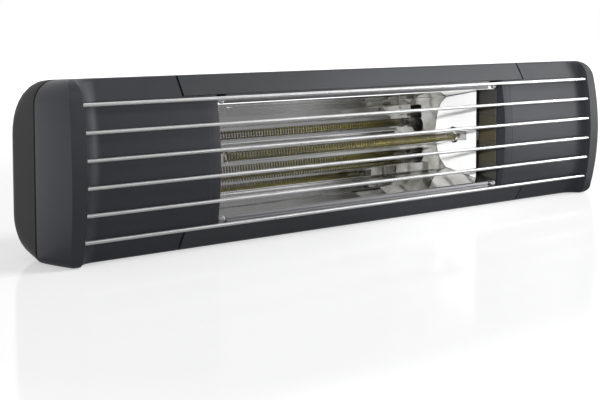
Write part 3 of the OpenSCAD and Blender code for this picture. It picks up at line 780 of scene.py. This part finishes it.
class HEATER_OT_guard_rods(bpy.types.Operator):
    """Six satin rods across the bowed front"""

    bl_idname = "heater.guard_rods"
    bl_label = "Guard rods"

    POINTS, SIDES = 41, 24

    def execute(self, context):
        low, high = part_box(RODS[0])
        values = {"Length": high.x - low.x, "Diameter": high.z - low.z}
        rods = grown("guard_rods", self.rods(), values, "rod_steel", [middle_of(rod) for rod in RODS[::-1]])
        ride(shade(rods), HEATER, "rod_steel", *RODS)
        return {"FINISHED"}

    def rods(self):
        """A straight rod set on each point of the bow."""
        nodes, given = node_group("guard rods", Geometry=["Places"], Float=["Length", "Diameter"])
        half = nodes.times(given["Length"], 0.5)
        start, end = (nodes.xyz(X=nodes.times(half, sign)) for sign in (-1.0, 1.0))
        line = nodes.geo("CurvePrimitiveLine", {"Start": start, "End": end})
        fine = nodes.geo("ResampleCurve", {"Curve": line, "Count": self.POINTS})
        nodes.set_on(given["Places"], nodes.swept(fine, given["Diameter"], self.SIDES), "rod_steel")
        return nodes.tree


class HEATER_OT_trough(bpy.types.Operator):
    """Reflector, its end plates, side shields and ribbed lips"""

    bl_idname = "heater.trough"
    bl_label = "Reflector trough"

    def execute(self, context):
        detail = context.scene.heater_detail
        folds = {"sharp": 8.0, "steep": 60.0, "shortest": 60 * MM, "rounds": 3}
        dress("reflector_sheet", "reflector", "mirror_sheet", detail.fold, **folds)
        wall_front = min(middle_of(rod).y for rod in RODS) + context.scene.heater_cover.pad_edge
        edge = detail.sheet_edge

        def longer_left(point):
            point.x -= detail.lip_reach if point.x < 0 else 0

        for end in ENDS:
            plate, wall = f"reflector_end_{end}", f"side_shield_{end}"
            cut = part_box(plate)[0].y + (detail.plate_cut if end == "left" else 0)
            dress(f"trough_end_{end}", plate, "end_plate", edge, front=cut)
            dress(f"side_wall_{end}", wall, "dark_shield", edge, front=wall_front)
        for lip in ("top", "bottom"):
            dress(f"mouth_lip_{lip}", f"reflector_lip_{lip}", "lip_aluminium", edge, reshape=longer_left)
        return {"FINISHED"}


class HEATER_OT_lamp(bpy.types.Operator):
    """Quartz tube with its wound filament and ceramic bases"""

    bl_idname = "heater.lamp"
    bl_label = "Lamp"

    WALL, DOME = 1.1 * MM, 3 * MM
    PINCH_LENGTH, PINCH, PINCH_SQUARE = 9 * MM, (8 * MM, 3 * MM), 0.62
    NECK, NECK_STEPS, PLAIN = 7 * MM, 8, 20 * MM
    AROUND = 48
    LEAD, LEAD_BEND = 3.5 * MM, 1.2 * MM
    TURN_POINTS, WIRE_SIDES = 20, 8
    TUBE_CREASE, WIRE_CREASE = 60, 80

    def execute(self, context):
        for end in ENDS:
            dress(f"ceramic_base_{end}", f"lamp_base_{end}", "lamp_ceramic", 0.5 * MM)
        ride(self.tube(*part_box("lamp_tube")), HEATER, "quartz", "lamp_tube")
        coil = self.filament(context.scene.heater_detail, *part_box("lamp_filament"))
        ride(coil, HEATER, "filament_wire", "lamp_filament")
        return {"FINISHED"}

    def tube(self, low, high):
        """Outer skin drawn down to a flat pinch at each end, and a closed bore inside it."""
        middle = (low + high) / 2
        radius, reach = (high.z - low.z) / 2, high.x - middle.x
        shoulder = reach - self.PINCH_LENGTH
        bm = bmesh.new()

        def section(x, flat, size):
            ring = []
            power = 1.0 - self.PINCH_SQUARE * flat
            halves = [radius + (pinch / 2 - radius) * flat for pinch in self.PINCH]
            for k in range(self.AROUND):
                a = 2 * math.pi * k / self.AROUND
                waves = zip((math.cos(a), math.sin(a)), halves)
                y, z = (math.copysign(abs(w) ** power, w) * half * size for w, half in waves)
                ring.append(bm.verts.new((middle.x + x, middle.y + y, middle.z + z)))
            return ring

        def skin(half, inward):
            """A closed skin through the sections (x, flatness, size) of its right half, from the tip."""
            rings = [section(-x, *form) for x, *form in half]
            rings += [section(x, *form) for x, *form in half[::-1]]
            for a, b in zip(rings, rings[1:]):
                for k in range(self.AROUND):
                    n = (k + 1) % self.AROUND
                    corners = [a[k], b[k], b[n], a[n]]
                    bm.faces.new(corners if inward else corners[::-1])
            for ring, turned in ((rings[0], inward), (rings[-1], not inward)):
                bm.faces.new(ring if turned else ring[::-1])

        outer = [(reach, 1.0, 0.9), (reach - 0.4 * MM, 1.0, 1.0)]
        for k in range(self.NECK_STEPS + 1):
            share = k / self.NECK_STEPS
            outer.append((shoulder - self.NECK * share, 0.5 + 0.5 * math.cos(math.pi * share), 1.0))
        outer.append((shoulder - self.PLAIN, 0.0, 1.0))
        skin(outer, False)
        bore = (radius - self.WALL) / radius
        tip = shoulder - 2 * self.DOME
        turns = (0.25, 0.7, 1.15, math.pi / 2)
        skin([(tip - (1 - math.cos(a)) * self.DOME, 0.0, bore * math.sin(a)) for a in turns], True)
        return shade(link("quartz_tube", to_mesh("quartz_tube", bm), "quartz"), self.TUBE_CREASE)

    def filament(self, detail, low, high):
        """A wound coil whose two ends bend to the axis and run out along it."""
        nodes, given = node_group(
            "filament", Int=["Turn Points"], Vector=["Middle"],
            Float=["Turns", "Radius", "Length", "Wire", "Lead"],
        )
        radius, half = given["Radius"], nodes.times(given["Length"], 0.5)
        spiral = {
            "Resolution": given["Turn Points"], "Rotations": given["Turns"], "Height": given["Length"],
            "Start Radius": radius, "End Radius": radius,
        }
        strands = [nodes.moved(nodes.geo("CurveSpiral", spiral), nodes.xyz(Z=nodes.times(half, -1.0)))]
        for sign in (-1.0, 1.0):
            rim = nodes.xyz(X=radius, Z=nodes.times(half, sign))
            runs = (self.LEAD_BEND, given["Lead"])
            axis, tip = (nodes.xyz(Z=nodes.times(nodes.maths("ADD", half, run), sign)) for run in runs)
            for start, end in ((rim, axis), (axis, tip)):
                strands.append(nodes.geo("CurvePrimitiveLine", {"Start": start, "End": end}))
        wire = nodes.swept(nodes.joined(strands), given["Wire"], self.WIRE_SIDES)
        along_x = {"Geometry": wire, "Translation": given["Middle"], "Rotation": (0.0, math.pi / 2, 0.0)}
        nodes.deliver(nodes.geo("Transform", along_x), "filament_wire")
        values = {
            "Turns": float(detail.coil_turns),
            "Turn Points": self.TURN_POINTS,
            "Radius": (high.z - low.z) / 2 - detail.coil_wire / 2,
            "Length": high.x - low.x - 2 * self.LEAD,
            "Wire": detail.coil_wire,
            "Lead": self.LEAD,
            "Middle": (low + high) / 2,
        }
        return shade(grown("filament_coil", nodes.tree, values, "filament_wire"), self.WIRE_CREASE)


class HEATER_OT_fasteners(bpy.types.Operator):
    """Cross-slotted screws of the trough and the rear covers"""

    bl_idname = "heater.fasteners"
    bl_label = "Screws"

    # Node, height of the head, radius of the shank, whether the heads face the front
    ROWS = [
        ("window_screws", 1.6 * MM, 1.5 * MM, True),
        ("cover_screws_left", 2.4 * MM, 1.7 * MM, False),
        ("cover_screws_right", 2.4 * MM, 1.7 * MM, False),
    ]
    HEAD_SIDES, HEAD_ROWS, SHANK_SIDES, CREASE = 40, 10, 28, 35
    DOME = 2.6
    SLOT_LENGTH, SLOT_WIDTH = 1.2, 0.26

    def execute(self, context):
        tree = self.screws()
        for node, head, shank, to_front in self.ROWS:
            boxes = solid_boxes(node)
            points = [(low + high) / 2 for low, high in boxes]
            for point, (low, high) in zip(points, boxes):
                point.y = low.y + head if to_front else high.y - head
            low, high = boxes[0]
            values = {
                "Head Radius": (high.x - low.x) / 2,
                "Head Height": head,
                "Shank Radius": shank,
                "Shank Length": high.y - low.y - head,
                "Turn": math.pi / 2 if to_front else -math.pi / 2,
            }
            piece = grown(f"{node}_set", tree, values, "zinc_steel", points)
            ride(shade(piece, self.CREASE), HEATER, "zinc_steel", node)
        return {"FINISHED"}

    def screws(self):
        """A pan-headed screw with a cross recess, set on each point."""
        nodes, given = node_group(
            "screws", Geometry=["Places"],
            Float=["Head Radius", "Head Height", "Shank Radius", "Shank Length", "Turn"],
        )
        radius, height, shank_length = given["Head Radius"], given["Head Height"], given["Shank Length"]
        drum = {
            "Vertices": self.HEAD_SIDES, "Side Segments": self.HEAD_ROWS, "Radius": radius, "Depth": height,
        }
        place = nodes.geo("InputPosition")
        over = nodes.maths("MAXIMUM", nodes.maths("DIVIDE", nodes.part(place, "Z"), height), 0.0)
        drawn_in = nodes.times(nodes.times(over, over), self.DOME)
        narrow = nodes.maths("SQRT", nodes.maths("SUBTRACT", 1.0, drawn_in))
        shrink = nodes.xyz(X=narrow, Y=narrow, Z=1.0)
        domed = nodes.shader("VectorMath", {0: place, 1: shrink}, operation="MULTIPLY")
        head = {"Geometry": nodes.geo("MeshCylinder", drum), "Position": domed}
        cut = nodes.add(
            "GeometryNodeMeshBoolean", {"Mesh 1": nodes.geo("SetPosition", head)}, operation="DIFFERENCE"
        )
        lift = nodes.xyz(Z=nodes.times(height, 0.5))
        long, wide = nodes.times(radius, self.SLOT_LENGTH), nodes.times(radius, self.SLOT_WIDTH)
        for x, y in ((long, wide), (wide, long)):
            bar = nodes.geo("MeshCube", {"Size": nodes.xyz(X=x, Y=y, Z=height)})
            nodes.feed(cut.inputs, {"Mesh 2": nodes.moved(bar, lift)})
        rod = {"Vertices": self.SHANK_SIDES, "Radius": given["Shank Radius"], "Depth": shank_length}
        drop = nodes.xyz(Z=nodes.times(shank_length, -0.5))
        shank = nodes.moved(nodes.geo("MeshCylinder", rod), drop)
        screw = nodes.joined((nodes.moved(cut.outputs[0], lift), shank))
        turned = nodes.geo("Transform", {"Geometry": screw, "Rotation": nodes.xyz(X=given["Turn"])})
        nodes.set_on(given["Places"], turned, "zinc_steel")
        return nodes.tree


class HEATER_OT_bracket(bpy.types.Operator):
    """Lugs, bolts, wall bracket and inlet gland"""

    bl_idname = "heater.bracket"
    bl_label = "Bracket"

    # Node, finish, rounding of its edges, body
    ROWS = [
        ("pivot_lug_left", "bracket_paint", 0.5 * MM, HEATER),
        ("pivot_lug_right", "bracket_paint", 0.5 * MM, HEATER),
        ("lug_bolts", "zinc_steel", 0.4 * MM, HEATER),
        ("pivot_bolts", "zinc_steel", 0.4 * MM, HEATER),
        ("wall_bracket", "bracket_paint", 0.5 * MM, BRACKET),
    ]

    def execute(self, context):
        for node, *row in self.ROWS:
            dress(f"{node}_dressed", node, *row)
        dress("inlet_gland", "cable_gland", "gland_plastic", 0.4 * MM)
        return {"FINISHED"}


class HEATER_OT_inner_pieces(bpy.types.Operator):
    """Finishes of the inner pieces, whose solids stay as they are"""

    bl_idname = "heater.inner_pieces"
    bl_label = "Inner pieces"

    ROWS = {
        "seal_rubber": ["cover_seal_left", "cover_seal_right"],
        "sheet_steel": ["lamp_holder_left", "lamp_holder_right", "heat_shield"],
        "terminal_plastic": ["terminal_block"],
        "lead_silicone": ["lamp_lead_left", "lamp_lead_right"],
    }

    def execute(self, context):
        for finish, nodes in self.ROWS.items():
            for node in nodes:
                paint(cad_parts[node].data, finish)
        return {"FINISHED"}


class HEATER_OT_stage(bpy.types.Operator):
    """Floor, light and camera"""

    bl_idname = "heater.stage"
    bl_label = "Stage"

    # Beyond the paper, so that the mirror doesn't show them: name, setting, share of it, place, width, height
    SOFTBOXES = [
        ("right softbox", "key", 1.0, (2.0, -1.6, 0.45), 0.5, 1.0),
        ("left softbox", "fill", 1.0, (-1.55, -0.7, 0.2), 0.6, 0.6),
        ("upper right softbox", "top", 1.0, (2.0, -0.95, 1.4), 0.5, 0.5),
        ("top softbox", "top", 0.5, (0.7, -0.94, 1.5), 0.6, 0.6),
    ]
    SPOT_PLACE, SPOT_CONE, SPOT_BLEND, SPOT_RADIUS = (-1.3, -1.0, 0.3), 7.5, 0.6, 0.03
    FLOOR_HALF, FLOOR_LEVEL, FLOOR_SHEEN = 9.0, -0.3 * MM, 0.11
    SWEEP_RADIUS, SWEEP_START, SWEEP_NEAR, SWEEP_LEVEL = 1.6, -1.5, -0.02, 1 * MM
    SWEEP_STEP, SWEEP_STEPS = 4, 23
    FADE_RIGHT, FADE_LEFT = 0.95, (-0.35, -0.9)

    def execute(self, context):
        studio = context.scene.heater_studio
        context.scene.view_settings.view_transform = "Standard"
        context.scene.cycles.glossy_bounces = 10
        self.floor()
        self.grey_sweep(studio)
        self.sky(context, studio)
        centre = (CAD_LOW + CAD_HIGH) / 2
        for name, setting, share, place, width, height in self.SOFTBOXES:
            light = self.light(name, "AREA", getattr(studio, setting) * share, place, centre)
            light.shape, light.size, light.size_y = "RECTANGLE", width, height
        target = middle_of("reflector_end_right")
        spot = self.light("window light", "SPOT", studio.window, self.SPOT_PLACE, target)
        spot.spot_size, spot.spot_blend = math.radians(self.SPOT_CONE), self.SPOT_BLEND
        spot.shadow_soft_size = self.SPOT_RADIUS
        self.camera(context, studio)
        return {"FINISHED"}

    def seen(self, nodes):
        """One for the rays that show the stage: from the camera, off metal and through glass."""
        path = nodes.add("ShaderNodeLightPath").outputs
        mirrored = nodes.maths("MAXIMUM", path["Is Glossy Ray"], path["Is Transmission Ray"])
        return nodes.maths("MAXIMUM", path["Is Camera Ray"], mirrored)

    def place(self, name, bm, finish):
        """A stage object and the empty node tree of its material."""
        material = bpy.data.materials.new(finish)
        material.use_nodes = True
        material.node_tree.nodes.clear()
        obj = link(name, to_mesh(name, bm))
        obj.data.materials.append(material)
        return obj, Nodes(material.node_tree)

    def floor(self):
        """White table that keeps the shadow and a faint mirror image."""
        bm = bmesh.new()
        bmesh.ops.create_grid(bm, x_segments=8, y_segments=8, size=self.FLOOR_HALF)
        bmesh.ops.translate(bm, verts=bm.verts, vec=(0, 0, self.FLOOR_LEVEL))
        _, nodes = self.place("floor", bm, "pale floor")
        matt = nodes.shader("BsdfDiffuse", {"Color": (0.80, 0.80, 0.81, 1)})
        gloss = nodes.shader("BsdfGlossy", {"Color": WHITE, "Roughness": 0.09})
        both = nodes.shader("MixShader", {0: self.FLOOR_SHEEN, 1: matt, 2: gloss})
        away = nodes.add("ShaderNodeVectorMath", {0: nodes.place()}, operation="LENGTH").outputs["Value"]
        white = nodes.ramp(away, 0.5, 1.6, 0.48, 1.0)
        glow = nodes.shader("Emission", {"Strength": nodes.times(self.seen(nodes), white)})
        nodes.surface(nodes.shader("AddShader", {0: both, 1: glow}))

    def grey_sweep(self, studio):
        """Grey paper before and above the front, that only metal and glass show, brighter to both ends."""
        bm = bmesh.new()
        radius, base, ends = self.SWEEP_RADIUS, self.SWEEP_LEVEL, (self.SWEEP_START, studio.sweep_end)
        turns = [math.radians(self.SWEEP_STEP * k) for k in range(self.SWEEP_STEPS + 1)]
        arc = [(-radius * math.cos(a), base + radius * math.sin(a)) for a in turns]
        rows = [[bm.verts.new((x, y, z)) for y, z in arc] for x in ends]
        for k in range(len(arc) - 1):
            bm.faces.new((rows[0][k + 1], rows[1][k + 1], rows[1][k], rows[0][k]))
        near, right = self.SWEEP_NEAR, studio.table_end
        table = [(ends[0], near), (ends[0], -radius), (right, -radius), (right, near)]
        bm.faces.new([bm.verts.new((x, y, base)) for x, y in table])
        sweep, nodes = self.place("grey_sweep", bm, "grey paper")
        sweep.visible_camera = sweep.visible_diffuse = sweep.visible_shadow = False
        along = nodes.part(nodes.place(), "X")
        fades = [(studio.sweep_end - self.FADE_RIGHT, studio.sweep_end), self.FADE_LEFT]
        rises = [nodes.ramp(along, *fade, interpolation_type="SMOOTHSTEP") for fade in fades]
        grey = nodes.spread(nodes.maths("MAXIMUM", *rises), studio.sweep_grey, 1.0)
        paper = nodes.shader("Emission", {"Strength": grey})
        back = nodes.add("ShaderNodeNewGeometry").outputs["Backfacing"]
        nodes.surface(nodes.shader("MixShader", {0: back, 1: paper, 2: nodes.shader("BsdfTransparent")}))

    def sky(self, context, studio):
        """Even light on the heater, and white where the stage is seen."""
        world = bpy.data.worlds.new("studio")
        context.scene.world = world
        world.use_nodes = True
        world.node_tree.nodes.clear()
        nodes = Nodes(world.node_tree)
        light, white = (
            nodes.shader("Background", {"Color": WHITE, "Strength": power}) for power in (studio.sky, 1.0)
        )
        nodes.surface(nodes.shader("MixShader", {0: self.seen(nodes), 1: light, 2: white}), "OutputWorld")

    def light(self, name, kind, power, place, target):
        """Data of a new light that looks from its place to a target."""
        data = bpy.data.lights.new(name, kind)
        data.energy = power
        lamp = link(name, data)
        lamp.location = place
        lamp.rotation_euler = (target - Vector(place)).to_track_quat("-Z", "Y").to_euler()
        return data

    def camera(self, context, studio):
        data = bpy.data.cameras.new("camera")
        data.sensor_width, data.lens, data.shift_y = 36.0, studio.lens, studio.rise
        data.clip_start, data.clip_end = 0.01, 60
        eye = link("camera", data)
        level = math.cos(studio.pitch)
        look = Vector((math.sin(studio.yaw) * level, math.cos(studio.yaw) * level, -math.sin(studio.pitch)))
        turn = look.to_track_quat("-Z", "Y").to_matrix().to_4x4() @ Matrix.Rotation(studio.roll, 4, "Z")
        eye.matrix_world = Matrix.Translation(studio.eye) @ turn
        context.scene.camera = eye


class HEATER_PT_pieces(bpy.types.Panel):
    """The heater's settings and pieces in the sidebar"""

    bl_idname = "HEATER_PT_pieces"
    bl_label = "Infrared tube heater"
    bl_space_type = "VIEW_3D"
    bl_region_type = "UI"
    bl_category = "Heater"

    def draw(self, context):
        for group in (getattr(context.scene, name) for name in SETTINGS):
            box = self.layout.box()
            for name in group.__annotations__:
                box.prop(group, name)
        for step in STEPS:
            self.layout.operator(step.bl_idname)


STEPS = [
    HEATER_OT_stage,
    HEATER_OT_covers,
    HEATER_OT_extrusion,
    HEATER_OT_guard_rods,
    HEATER_OT_trough,
    HEATER_OT_lamp,
    HEATER_OT_fasteners,
    HEATER_OT_bracket,
    HEATER_OT_inner_pieces,
]
SETTINGS = {
    "heater_finish": HeaterFinish,
    "heater_detail": HeaterDetail,
    "heater_cover": HeaterCover,
    "heater_studio": HeaterStudio,
}


def register():
    for kind in (*SETTINGS.values(), *STEPS, HEATER_PT_pieces):
        bpy.utils.register_class(kind)
    for name, kind in SETTINGS.items():
        setattr(bpy.types.Scene, name, PointerProperty(type=kind))


def unregister():
    for name in SETTINGS:
        delattr(bpy.types.Scene, name)
    for kind in reversed((*SETTINGS.values(), *STEPS, HEATER_PT_pieces)):
        bpy.utils.unregister_class(kind)


def main():
    register()
    for step in STEPS:
        group, name = step.bl_idname.split(".")
        getattr(getattr(bpy.ops, group), name)()


if __name__ == "__main__":
    main()
